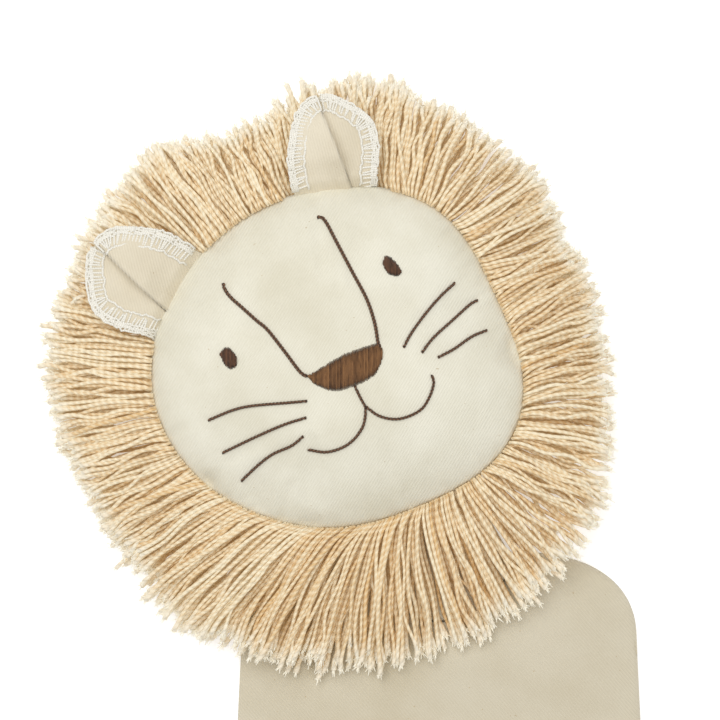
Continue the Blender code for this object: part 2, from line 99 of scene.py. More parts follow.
def add_node(material, kind, settings=None, links=None, output=0):
    """Add a node and return one of its outputs.

    Settings are its properties or its inputs' values; links are the outputs they take.
    """
    node = material.node_tree.nodes.new("ShaderNode" + kind)
    for key, value in (settings or {}).items():
        if isinstance(key, str) and hasattr(node, key) and key not in node.inputs:
            setattr(node, key, value)
        else:
            node.inputs[key].default_value = value
    for key, source in (links or {}).items():
        material.node_tree.links.new(source, node.inputs[key])
    return node.outputs[output]


def new_material(name, roughness, sheen=0.0, **settings):
    """A material with a plain Principled shader, whose constants sit on its own sockets.

    Further settings are named as the sockets are, with _ for each space.
    """
    material = bpy.data.materials.new(name)
    material.use_nodes = True
    shader = material.node_tree.nodes["Principled BSDF"]
    settings = {"Roughness": roughness, "IOR": 1.45, "Specular_IOR_Level": 0.25,
                "Sheen_Weight": sheen, "Sheen_Roughness": 0.6, **settings}
    for socket, value in settings.items():
        shader.inputs[socket.replace("_", " ")].default_value = value
    return material, shader


def shade_between(material, shade, dark, light, dark_at, light_at):
    """A cloth's or thread's colour: dark up to dark_at, light from light_at, mixed between."""
    share = add_node(material, "MapRange", {"From Min": dark_at, "From Max": light_at},
                     {"Value": shade})
    return add_node(material, "Mix", {"data_type": "RGBA", 6: linear(dark), 7: linear(light)},
                    {0: share}, 2)


def finish_surface(material, shader, colour, height, strength, depth):
    """Give the shader its colour, and a relief of a real depth that follows a height."""
    relief = add_node(material, "Bump", {"Strength": strength, "Distance": depth},
                      {"Height": height})
    material.node_tree.links.new(colour, shader.inputs["Base Color"])
    material.node_tree.links.new(relief, shader.inputs["Normal"])
    return material


def twill_material(name, angle, light=TWILL_LIGHT, dark=TWILL_DARK):
    """Undyed cotton twill: matt, with fine slanting ribs, crossed by single yarns.

    The ribs are bands of the object's own coordinates turned by the twill's angle, and each
    rib is cut into short floats by the yarns. Broad, faint clouds come from uneven cotton,
    and a few darker specks are bits of seed.
    """
    material, shader = new_material(name, 0.92, 0.12)
    place = add_node(material, "TexCoord", output="Object")
    turned = add_node(material, "Mapping", {"Rotation": (0, 0, math.pi / 2 - angle)},
                      {"Vector": place})
    ribs = add_node(material, "TexWave",
                    {"Scale": WAVE_BAND / TWILL_PITCH, "Distortion": 0.35, "Detail": 1.0,
                     "Detail Scale": 1.5}, {"Vector": turned}, "Fac")
    yarns = add_node(material, "TexWave",
                     {"bands_direction": "Y", "Scale": WAVE_BAND / YARN_PITCH,
                      "Distortion": 0.6, "Detail": 1.0}, {"Vector": turned}, "Fac")
    clouds, slubs, specks = (
        add_node(material, "TexNoise", {"Scale": scale, "Detail": detail}, {"Vector": place},
                 "Fac") for scale, detail in ((CLOUDS, 4.0), (SLUBS, 2.0), (SLUBS, 0.0)))
    weave = add_node(material, "Math", {"operation": "MULTIPLY_ADD", 1: 0.35},
                     {0: yarns, 2: ribs})
    rough = add_node(material, "Math", {"operation": "MULTIPLY_ADD", 1: 0.9},
                     {0: slubs, 2: weave})
    tone = add_node(material, "Math", {"operation": "MULTIPLY_ADD", 1: 0.16},
                    {0: rough, 2: clouds})
    cloth = shade_between(material, tone, dark, light, 0.35, 0.85)
    speck = add_node(material, "MapRange", {"From Min": 0.85, "From Max": 0.88, "To Max": 0.55},
                     {"Value": specks})
    spotted = add_node(material, "Mix", {"data_type": "RGBA", 7: linear(SPECK)},
                       {0: speck, 6: cloth}, 2)
    return finish_surface(material, shader, spotted, rough, 0.55, WEAVE_RELIEF)


def make_mesh(name, vertices, quads, triangles=None, uv=None, material=None):
    """A mesh object from arrays: vertices (n, 3), quads (q, 4), triangles (t, 3).

    uv holds one pair for each corner, the quads' corners first.
    """
    corners = [np.asarray(quads).reshape(-1)]
    starts = [np.arange(len(quads)) * 4]
    if triangles is not None and len(triangles):
        corners.append(np.asarray(triangles).reshape(-1))
        starts.append(len(quads) * 4 + np.arange(len(triangles)) * 3)
    corners, starts = np.concatenate(corners), np.concatenate(starts)
    mesh = bpy.data.meshes.new(name)
    mesh.vertices.add(len(vertices))
    mesh.vertices.foreach_set("co", np.asarray(vertices, np.float32).reshape(-1))
    mesh.loops.add(len(corners))
    mesh.loops.foreach_set("vertex_index", corners.astype(np.int32))
    mesh.polygons.add(len(starts))
    mesh.polygons.foreach_set("loop_start", starts.astype(np.int32))
    mesh.polygons.foreach_set("use_smooth", np.ones(len(starts), bool))
    if uv is not None:
        mesh.uv_layers.new(name="UVMap").data.foreach_set(
            "uv", np.asarray(uv, np.float32).reshape(-1))
    mesh.update(calc_edges=True)
    mesh.validate()
    if material:
        mesh.materials.append(material)
    piece = bpy.data.objects.new(name, mesh)
    bpy.context.scene.collection.objects.link(piece)
    return piece


def grid_faces(rows, columns, ring=False, flip=False):
    """Corner numbers of the quads of a grid; a ring's last column joins its first."""
    last = columns if ring else columns - 1
    row, column = np.meshgrid(np.arange(rows - 1), np.arange(last), indexing="ij")
    after = (column + 1) % columns
    quads = np.stack([row * columns + column, row * columns + after,
                      (row + 1) * columns + after, (row + 1) * columns + column], -1)
    quads = quads.reshape(-1, 4)
    return quads[:, ::-1] if flip else quads


def cloth_sheet(name, points, material, thickness=CLOTH, ring=False, flip=False):
    """A sheet of cloth from a grid of points (rows, columns, 3), with a wall below it."""
    rows, columns = points.shape[:2]
    piece = make_mesh(name, points.reshape(-1, 3), grid_faces(rows, columns, ring, flip),
                      material=material)
    wall = piece.modifiers.new("cloth", "SOLIDIFY")
    wall.thickness = thickness
    wall.offset = -1
    return piece


def half_width(y):
    """Half the sleeve's width: straight flare below the armpits, rounded shoulder above."""
    straight = SLEEVE_HALF_WIDTH + (SHOULDER_START - y) * math.tan(SIDE_FLARE)
    rise = np.clip((y - SHOULDER_START) / (SHOULDER_END - SHOULDER_START), 0, 1)
    run = (1 - rise ** SHOULDER_ROUNDNESS) ** (1 / SHOULDER_ROUNDNESS)
    rounded = NECK_RADIUS + (SLEEVE_HALF_WIDTH - NECK_RADIUS) * run
    return np.where(y < SHOULDER_START, straight, rounded)


def shoulder_line(x):
    """Where the sleeve ends above x: the neck hole's arc, or the shoulder's curve."""
    off = np.abs(x)
    run = np.clip((off - NECK_RADIUS) / (SLEEVE_HALF_WIDTH - NECK_RADIUS), 0, 1)
    rise = (1 - run ** SHOULDER_ROUNDNESS) ** (1 / SHOULDER_ROUNDNESS)
    shoulder = SHOULDER_START + (SHOULDER_END - SHOULDER_START) * rise
    arc = -np.sqrt(np.clip(NECK_RADIUS ** 2 - x * x, 0, None))
    return np.where(off < NECK_RADIUS, np.minimum(arc, SHOULDER_END), shoulder)


def ripples(x, y, seed, size, shortest, longest):
    """Soft creases: nine sines in chance directions, of wavelengths shortest to longest."""
    draw = np.random.default_rng(seed)
    total = np.zeros_like(x)
    for _ in range(9):
        heading, phase = draw.uniform(0, 2 * math.pi, 2)
        number = 2 * math.pi / draw.uniform(shortest, longest)
        total += np.sin(number * (x * math.cos(heading) + y * math.sin(heading)) + phase)
    return total * size / 3


def sleeve_plan(rows, columns):
    """x and y over the sleeve: columns fan from the hem to the shoulder and neck line."""
    t, s = np.meshgrid(np.linspace(0, 1, rows), np.linspace(-1, 1, columns), indexing="ij")
    hem_x = s * half_width(np.array(-SLEEVE_LENGTH))
    top_x = SLEEVE_HALF_WIDTH * np.sin(s * math.pi / 2)
    top_y = shoulder_line(top_x)
    return hem_x + (top_x - hem_x) * t, -SLEEVE_LENGTH + (top_y + SLEEVE_LENGTH) * t


def front_cloth_height(x, y):
    """Outer side of the front panel: an arch across the sleeve that grows towards the hem."""
    share = np.clip(np.abs(x) / half_width(y), 0, 1)
    along = np.clip((SHOULDER_END - y) / (SLEEVE_LENGTH + SHOULDER_END), 0, 1)
    arch = NECK_ARCH + (HEM_ARCH - NECK_ARCH) * along
    roll = -SEAM_ROLL * np.clip((share - 0.97) / 0.03, 0, 1) ** 2
    hem_line = -SLEEVE_LENGTH + HEM_TURN
    pressed = -HEM_DENT * np.exp(-((y - hem_line) / HEM_DENT_WIDTH) ** 2)
    crease = ripples(x, y, 3, SLEEVE_CREASE, 0.035, 0.11) * (1 - share ** 4)
    return BACK_THICKNESS + GAP + CLOTH + arch * (1 - share * share) + roll + pressed + crease


# painted shade: the sleeve, neck and inner pieces all take this darker body twill
shaded_body_twill = twill_material("cotton_twill_body", BODY_TWILL_ANGLE, SHADED_BODY_LIGHT, SHADED_BODY_DARK)
x, y = sleeve_plan(SLEEVE_ROWS, SLEEVE_COLUMNS)
front_panel = cloth_sheet("front_panel", np.stack([x, y, front_cloth_height(x, y)], -1),
                          shaded_body_twill)
flat = np.stack([x, y, np.full_like(x, BACK_THICKNESS)], -1)[::3, ::3]   # needs fewer points
back_panel = cloth_sheet("back_panel", flat, shaded_body_twill, BACK_THICKNESS)
for panel, node in ((front_panel, "body_front_panel"), (back_panel, "body_back_panel")):
    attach(panel, "sleeve")
    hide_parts(node)
# the hem's and the seams' inner cloth and the pocket keep their shapes, in the same twill
for name in ("front_hem_facing", "back_hem_facing", "left_side_seam", "right_side_seam",
             "finger_pocket"):
    frame["nodes"][name].data.materials.clear()
    frame["nodes"][name].data.materials.append(shaded_body_twill)
    frame["nodes"][name].material_slots[0].material = shaded_body_twill


# ==== Hem stitching =========================================================================
# One row of lockstitch in cream thread holds each turned hem. It is made of single stitches,
# each sunk a little into the cloth at both of its ends.
STITCH_LENGTH = 0.0030
STITCH_PITCH = 0.0036
STITCH_RISE = 0.0003
HEM_THREAD = 0.00022             # half the thread's thickness
THREAD_RELIEF = 0.0002


def threads(name, paths, radii, material, sides=6, tint=None, tip=None):
    """Tubes along many paths at once: paths (n, k, 3), radii (n, k).

    Each ring is the path's point plus radius times the cosine of the angle along the side
    vector, tangent x up, and the sine along the third vector. Both ends close in a point.
    UV is the share round the thread and the length along it in millimetres.
    """
    count, steps = paths.shape[:2]
    tangent = np.gradient(paths, axis=1)
    tangent /= np.linalg.norm(tangent, axis=2, keepdims=True) + 1e-12
    side = np.cross(tangent, (0.0, 0.0, 1.0))
    side /= np.linalg.norm(side, axis=2, keepdims=True) + 1e-9
    over = np.cross(side, tangent)
    angle = np.arange(sides) * 2 * math.pi / sides
    ring = (side[:, :, None] * np.cos(angle)[:, None]
            + over[:, :, None] * np.sin(angle)[:, None])
    body = paths[:, :, None] + ring * radii[:, :, None, None]
    ends = np.stack([paths[:, 0] - tangent[:, 0] * radii[:, :1] * 0.6,
                     paths[:, -1] + tangent[:, -1] * radii[:, -1:] * 0.6], 1)
    per = steps * sides + 2
    vertices = np.concatenate([body.reshape(count, -1, 3), ends], 1)
    first = (np.arange(count) * per)[:, None]
    k, j = np.meshgrid(np.arange(steps - 1), np.arange(sides), indexing="ij")
    k, j = k.reshape(-1), j.reshape(-1)
    after = (j + 1) % sides
    quad = np.stack([k * sides + j, k * sides + after, (k + 1) * sides + after,
                     (k + 1) * sides + j], -1)
    quads = (first[:, :, None] + quad).reshape(-1, 4)
    j = np.arange(sides)
    after = (j + 1) % sides
    top = (steps - 1) * sides
    caps = np.concatenate([
        np.stack([after, j, np.full(sides, per - 2)], -1),
        np.stack([top + j, top + after, np.full(sides, per - 1)], -1)])
    triangles = (first[:, :, None] + caps).reshape(-1, 3)
    length = np.concatenate([np.zeros((count, 1)), np.cumsum(
        np.linalg.norm(np.diff(paths, axis=1), axis=2), axis=1)], 1) * 1000
    round_share = np.stack([quad[:, 0] % sides, quad[:, 0] % sides + 1,
                            quad[:, 0] % sides + 1, quad[:, 0] % sides], -1) / sides
    along = length[:, np.stack([k, k, k + 1, k + 1], -1)]
    quad_uv = np.stack([np.broadcast_to(round_share, along.shape), along], -1).reshape(-1, 2)
    cap_along = np.concatenate([np.zeros((count, sides * 3)),
                                np.repeat(length[:, -1:], sides * 3, 1)], 1)
    cap_uv = np.stack([np.full_like(cap_along, 0.5), cap_along], -1).reshape(-1, 2)
    piece = make_mesh(name, vertices.reshape(-1, 3), quads, triangles,
                      np.concatenate([quad_uv, cap_uv]), material)
    for label, value in (("tint", tint), ("tip", tip)):
        if value is not None:
            value = np.broadcast_to(value, (count, steps))
            value = np.concatenate([np.repeat(value, sides, 1), value[:, :1], value[:, -1:]], 1)
            attribute = piece.data.attributes.new(label, "FLOAT", "POINT")
            attribute.data.foreach_set("value", value.reshape(-1).astype(np.float32))
    return piece


def twist(material, pitch_mm):
    """Shade of a two-ply thread, 0 in the groove between its plies and 1 on top of them.

    It is the sine of twice the turn round the thread plus the turns made along it, so that
    the plies run in slanting bands, one pitch apart.
    """
    uv = add_node(material, "TexCoord", output="UV")
    around, along = (add_node(material, "SeparateXYZ", links={"Vector": uv}, output=part)
                     for part in "XY")
    turns = add_node(material, "Math", {"operation": "MULTIPLY", 1: 2 * math.pi / pitch_mm},
                     {0: along})
    phase = add_node(material, "Math", {"operation": "MULTIPLY_ADD", 1: 4 * math.pi},
                     {0: around, 2: turns})
    wave = add_node(material, "Math", {"operation": "SINE"}, {0: phase})
    return add_node(material, "MapRange", {"From Min": -1.0}, {"Value": wave})


def thread_material(name, light, dark, roughness, pitch_mm, sheen=0.2, streaked=False):
    """Spun thread: slanting bands are its twist, with painted shade between the plies and a
    painted highlight on their tops.

    Where it is streaked, every thread has its own tint, partly at random and partly painted
    shade towards its ends, and the twist shows less.
    """
    material, shader = new_material(name, roughness, sheen)
    shade = ply = twist(material, pitch_mm)
    if streaked:
        tint = add_node(material, "Attribute", {"attribute_name": "tint"}, output="Fac")
        shade = add_node(material, "Math", {"operation": "MULTIPLY_ADD", 1: 0.16},
                         {0: ply, 2: tint})
    # painted shade in the grooves between the plies, painted highlight on their tops
    colour = shade_between(material, shade, dark, light, 0.1, 0.85)
    return finish_surface(material, shader, colour, ply, 0.6, THREAD_RELIEF)


def lockstitch(name, line_y, height, material):
    """A row of stitches across the sleeve at line_y, on the surface height(x, y)."""
    reach = float(half_width(np.array(line_y))) * 0.95
    middle = np.arange(-reach, reach, STITCH_PITCH)
    k = np.linspace(-0.5, 0.5, 7)
    px = middle[:, None] + k * STITCH_LENGTH
    py = np.full_like(px, line_y)
    pz = height(px, py) + STITCH_RISE * (1 - (2 * k) ** 4) - 0.0001
    return threads(name, np.stack([px, py, pz], -1), np.full(px.shape, HEM_THREAD), material)


cream_thread = thread_material("cream_sewing_thread", "#f3efe2", "#d8d0ba", 0.7, 0.6)
hem_stitches = lockstitch("hem_stitches", -SLEEVE_LENGTH + HEM_TURN, front_cloth_height,
                          cream_thread)
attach(hem_stitches, "sleeve")


# ==== Face ==================================================================================
# The padded front of the head: one round piece of twill, eased into the seam and stuffed
# from behind, so it is flat in the middle, rolls down to the seam and puckers there.
FACE_HALF_WIDTH = 0.0635
FACE_HALF_HEIGHT = 0.0615
FACE_SQUARENESS = 2.15
FACE_WAVES = np.array([(0.9845, 0.0), (0.0331, -0.003), (0.0159, -0.0288), (-0.0279, 0.0042),
                       (-0.0055, 0.0063), (-0.0079, 0.0131), (-0.0014, 0.0044)])
# cosine and sine parts of the outline's swells and hollows, from none to six times round
NOD_RISE = 0.004
SEAM_HALF = 0.0008
DOME_RISE = 0.020
DOME_POWER = 3.0
FACE_TWILL_ANGLE = math.radians(60.0)
FACE_CELLS = 120
PUCKER_DEPTH = 0.0011
PUCKER_REACH = 0.0055            # how far the short folds run in from the seam
SEWN_EDGE = 0.002                # the seam holds the cloth flat this far in
FOLDS = ((23, 0.4), (37, 2.1), (53, 4.0), (11, 1.0))      # number round the head, and phase
FACE_CREASE = 0.00045
STUFFING_PRESSURE = 1.5
CLOTH_EASE = 0.02                # share that the cloth is longer than its seam
SWELL_CAP = 0.003
PUCKERS = ((0.0560, -0.0270, 0.0060, 0.0028), (-0.0125, 0.0560, 0.0050, 0.0018),
           (-0.0575, -0.0140, 0.0060, 0.0020), (-0.0350, -0.0440, 0.0070, 0.0014),
           (0.0430, 0.0400, 0.0060, 0.0012))     # across, up, radius and depth of each dimple

joints = {joint["name"]: joint for joint in frame["joints"]}
nod = joints["head_nod"]
RIGHT = np.array(nod["axis"], float)
RIGHT /= np.linalg.norm(RIGHT)
UP = np.array([-RIGHT[1], RIGHT[0], 0.0])
FACE_CENTRE = np.array(nod["pos_m"], float) * (1, 1, 0) + UP * FACE_HALF_HEIGHT
SEAM_Z = nod["pos_m"][2] - NOD_RISE


def on_head(u, v, z):
    """From the head's own across, up and height to the puppet's frame."""
    return (FACE_CENTRE + np.asarray(u)[..., None] * RIGHT + np.asarray(v)[..., None] * UP
            + np.asarray(z)[..., None] * np.array([0.0, 0.0, 1.0]))


def face_radius(angle):
    """Seam's distance from the face's middle: a rounded oval times a sum of waves."""
    across = np.abs(np.cos(angle) / FACE_HALF_WIDTH) ** FACE_SQUARENESS
    along = np.abs(np.sin(angle) / FACE_HALF_HEIGHT) ** FACE_SQUARENESS
    turned = np.asarray(angle)[..., None] * np.arange(len(FACE_WAVES))
    swell = (FACE_WAVES[:, 0] * np.cos(turned) + FACE_WAVES[:, 1] * np.sin(turned)).sum(-1)
    return swell * (across + along) ** (-1 / FACE_SQUARENESS)


def disc_grid(cells):
    """Share of the radius and angle over a square grid that is mapped evenly to a disc."""
    t, s = np.meshgrid(np.linspace(-1, 1, cells + 1), np.linspace(-1, 1, cells + 1),
                       indexing="ij")
    wide = np.abs(s) > np.abs(t)
    safe_s, safe_t = np.where(s == 0, 1, s), np.where(t == 0, 1, t)
    angle = np.where(wide, math.pi / 4 * t / safe_s + np.where(s < 0, math.pi, 0),
                     math.pi / 2 - math.pi / 4 * s / safe_t + np.where(t < 0, math.pi, 0))
    return np.maximum(np.abs(s), np.abs(t)), angle


def face_plan(cells):
    """Across and up over the face, with the share of the radius and the angle."""
    share, angle = disc_grid(cells)
    radius = share * face_radius(angle)
    return radius * np.cos(angle), radius * np.sin(angle), share, angle


def stuffed_height(u, v, share, angle):
    """Height of the stuffed face: a pillow, less the seam's puckers and a few dimples.

    Near the seam the cloth is eased in, so short folds run inwards from it: the depth is a
    sum of sines round the head that fades with the distance from the seam.
    """
    rise = DOME_RISE * (1 - share ** DOME_POWER)
    from_seam = (1 - share) * FACE_HALF_WIDTH
    free = np.clip(from_seam / SEWN_EDGE, 0, 1)
    folds = sum(np.sin(number * angle + phase) for number, phase in FOLDS)
    folds = np.clip(folds, -0.4, None) * PUCKER_DEPTH / 2.5
    rise = rise - folds * np.exp(-from_seam / PUCKER_REACH) * free
    for across, up, size, depth in PUCKERS:
        rise = rise - depth * np.exp(-((u - across) ** 2 + (v - up) ** 2) / size ** 2) * free
    soft = ripples(u, v, 11, FACE_CREASE, 0.030, 0.075) * (1 - share ** 6)
    return SEAM_Z + SEAM_HALF + rise + soft


def blow_up(points, held, pressure, growth, cap):
    """Let cloth simulation swell a grid of points whose rim is held, and return it.

    The cloth grows a little, as eased cloth has more length than its seam; the pressure
    stands for the stuffing. No point moves further than cap.
    """
    rows, columns = points.shape[:2]
    scale = 10.0                  # worked on at ten times its size, where the solver is steady
    piece = make_mesh("swelling", points.reshape(-1, 3) * scale, grid_faces(rows, columns))
    group = piece.vertex_groups.new(name="held")
    group.add([int(i) for i in np.flatnonzero(held.reshape(-1))], 1.0, "REPLACE")
    cloth = piece.modifiers.new("cloth", "CLOTH")
    settings = cloth.settings
    settings.quality = 6
    settings.mass = 0.3
    settings.tension_stiffness = settings.compression_stiffness = 20
    settings.shear_stiffness = 8
    settings.bending_stiffness = 1.5
    settings.vertex_group_mass = "held"
    settings.use_pressure = True
    settings.uniform_pressure_force = pressure
    settings.shrink_min = -growth
    settings.effector_weights.gravity = 0
    cloth.collision_settings.use_collision = False
    scene = bpy.context.scene
    for number in range(1, 21):
        scene.frame_set(number)
    moved = np.empty(rows * columns * 3, np.float32)
    evaluated = piece.evaluated_get(bpy.context.evaluated_depsgraph_get())
    evaluated.data.vertices.foreach_get("co", moved)
    scene.frame_set(1)
    bpy.data.objects.remove(piece)
    moved = moved.reshape(rows, columns, 3) / scale
    shift = moved - points
    far = np.linalg.norm(shift, axis=2, keepdims=True)
    return points + shift * np.minimum(1, cap / np.maximum(far, 1e-9))


face_u, face_v, face_share, face_angle = face_plan(FACE_CELLS)
face_z = stuffed_height(face_u, face_v, face_share, face_angle)
swollen = blow_up(np.stack([face_u, face_v, face_z], -1), face_share > 0.999,
                  STUFFING_PRESSURE, CLOTH_EASE, SWELL_CAP)
face_z = np.maximum(swollen[..., 2], SEAM_Z + SEAM_HALF * 0.6)
face_twill = twill_material("cotton_twill_face", FACE_TWILL_ANGLE)
face = cloth_sheet("face", on_head(face_u, face_v, face_z), face_twill)
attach(face, "head")
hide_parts("face_panel", "head_filling")


def face_height(u, v):
    """Height of the finished face at across and up, read between its grid's points."""
    radius = np.hypot(u, v)
    angle = np.arctan2(v, u)
    share = np.clip(radius / face_radius(angle), 0, 1)
    turn = np.mod(angle + math.pi / 4, 2 * math.pi)
    quarter = np.floor(turn / (math.pi / 2)).astype(int)
    off = (turn - quarter * math.pi / 2 - math.pi / 4) / (math.pi / 4) * share
    s = np.choose(quarter, [share, -off, -share, off])
    t = np.choose(quarter, [off, share, -off, -share])
    column = np.clip((s + 1) / 2 * FACE_CELLS, 0, FACE_CELLS - 1e-6)
    row = np.clip((t + 1) / 2 * FACE_CELLS, 0, FACE_CELLS - 1e-6)
    c0, r0 = column.astype(int), row.astype(int)
    fc, fr = column - c0, row - r0
    return ((face_z[r0, c0] * (1 - fc) + face_z[r0, c0 + 1] * fc) * (1 - fr)
            + (face_z[r0 + 1, c0] * (1 - fc) + face_z[r0 + 1, c0 + 1] * fc) * fr)


# ==== Back of the head ======================================================================
# The other half of the head, a round of the same twill that lies flat on the table in the
# middle and comes up to the seam. Stuffing and finger pocket are inside it.
BACK_FLAT = 0.45                 # share of the radius that lies on the table
BACK_POWER = 2.0
BACK_CELLS = 60
BACK_CREASE = 0.0004
back_u, back_v, back_share, _ = face_plan(BACK_CELLS)
climb = np.clip(back_share - BACK_FLAT, 0, None) / (1 - BACK_FLAT)
back_z = ((SEAM_Z - SEAM_HALF) * climb ** BACK_POWER
          + ripples(back_u, back_v, 5, BACK_CREASE, 0.02, 0.05) * climb * (1 - back_share ** 8))
head_back = cloth_sheet("head_back", on_head(back_u, back_v, np.maximum(back_z, 0.0)),
                        face_twill, flip=True)
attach(head_back, "head")
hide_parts("head_back_panel")


# ==== Neck ==================================================================================
# A short flat tube of twill that lets the fingers pass. Its round lower end sits in the
# sleeve's neck hole, and its upper end is sewn to the head's back, so it bends with a nod.
NECK_HALF_WIDTH = 0.020
NECK_SQUARENESS = 4.0
NECK_INTO_HEAD = 0.010
neck_low, neck_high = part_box("neck_tube")
CHIN_REACH = float(np.linalg.norm(np.array(nod["pos_m"], float)[:2]))


def neck_surface(rows, columns):
    """A rounded box's outline round the tube, carried from the pivot's arc into the head."""
    t, around = np.meshgrid(np.linspace(0, 1, rows),
                            np.arange(columns) * 2 * math.pi / columns, indexing="ij")
    power = 2 / NECK_SQUARENESS
    u = NECK_HALF_WIDTH * np.sign(np.cos(around)) * np.abs(np.cos(around)) ** power
    half = (neck_high.z - neck_low.z) / 2
    z = neck_low.z + half * (1 + np.sign(np.sin(around)) * np.abs(np.sin(around)) ** power)
    low = -np.sqrt(NECK_RADIUS ** 2 - u * u) + 2 * GAP
    along = low + (CHIN_REACH + NECK_INTO_HEAD - low) * t
    return on_head(u, along - CHIN_REACH - FACE_HALF_HEIGHT, z)


neck = cloth_sheet("neck", neck_surface(24, 64), shaded_body_twill, ring=True)
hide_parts("neck_tube")
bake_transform(neck)


# ==== Mane and beard ========================================================================
# Undyed cotton cords, each of two twisted plies about 1.3 mm thick, hang side by side from a
# heading that is caught in the head's seam, in several layers. The cut ends have opened into
# pale fluff. The cords gather in tufts, wave a little and cross each other.
CORD_RADIUS = 0.00067
CORD_STEPS = 15
LAYERS = 5
CORDS_PER_LAYER = 320
CORD_TWIST = 2.6                 # one ply's turn along the cord, in millimetres
CORD_RELIEF = 0.0003
FRINGE_LAYER = 0.0035
TIP_LOW = 0.0016
TUFTS, MORE_TUFTS = 46, 5        # tufts in the back layer, and how many more in each above it
TUFT_LENGTHS, CORD_LENGTHS = 0.0013, 0.0011      # how much their lengths differ
TUFT_LEAN, CORD_LEAN = 0.05, 0.055               # how much their directions differ
STRAYS, STRAY_LEAN = 0.09, 0.32  # share of the cords that cross the others, and how far
GATHER = (0.05, 0.45)            # how far a cord leans to its tuft's middle
WAVES, SWAY = (0.6, 2.2), (0.0003, 0.0013)       # number of a cord's waves, and their size
ROOT_DEPTH = 0.0006              # how far the seam takes the cords in
EAR_PRESS, EAR_PRESS_MORE = 0.0035, 0.0022       # how far the ears press the cords down
TIP_SPREAD = 0.0072              # height between the back layer's ends and the front one's
EAR_HALF_SEAT, EAR_SEAT_EDGE = math.radians(18), math.radians(3)
COTTON_FIBRES = 1400.0           # in a metre, so the noise is as fine as loose fibres
FIBRES = 9                       # in each frayed end
FIBRE_THICK, FIBRE_THIN = 0.00032, 0.00015
SHORTEST_FIBRE, LONGEST_FIBRE = 0.0012, 0.0032
NECK_SWING = (-70.0, 10.0)       # the neck joint's range in degrees
EAR_SEATS = (math.radians(58.8), math.radians(126.2))     # the ears' places round the seam
CHEST_TOP = BACK_THICKNESS + GAP + NECK_ARCH + CLOTH
CORD_LIGHT, CORD_DARK, CORD_GLOW = "#f1e5c9", "#d8b27b", "#d8b680"
TIP_COLOUR = "#f4eedd"
MANE_EDGE = np.array([(-160, 97), (-148, 98.5), (-137, 103.5), (-125, 101), (-110, 101.5),
                      (-100, 103), (-93, 105.5), (-85, 108.5), (-74, 108.5), (-62, 107.5),
                      (-50, 101), (-30, 95), (0, 92), (10, 96.5), (20, 96), (30, 97.5), (40, 100),
                      (50, 100), (60, 98), (70, 91.5), (85, 87), (100, 98), (125, 98), (150, 100),
                      (180, 98)])
# direction in the head's frame in degrees, and how far from its middle the cords end in mm
MANE_SWEEP = np.array([(-170, -10), (-150, -25), (-125, -34), (-105, -36), (-88, -22), (-74, -13),
                       (-64, 2), (-45, 12), (-34, 22), (-20, 18), (-10, 6), (8, -12), (17, -16),
                       (27, 3), (40, 14), (60, 8), (78, 10), (105, -4), (130, 0), (160, -5)])
# direction, and how far the cords there are swept round from the radius, both in degrees


def below_chin(angle):
    """How much a direction points down the chest, with a smooth step between.

    It is 1 up to 32 degrees from straight down and 0 from 66 degrees on.
    """
    off = np.abs(np.mod(angle + 3 * math.pi / 2, 2 * math.pi) - math.pi)
    share = np.clip((math.radians(66) - off) / math.radians(34), 0, 1)
    return share * share * (3 - 2 * share)


def mane_length(angle):
    """Length of cord that shows: the distance of its end, less that of the seam."""
    edge = np.interp(angle, np.radians(MANE_EDGE[:, 0]), MANE_EDGE[:, 1] / 1000,
                     period=2 * math.pi)
    return edge - face_radius(angle)


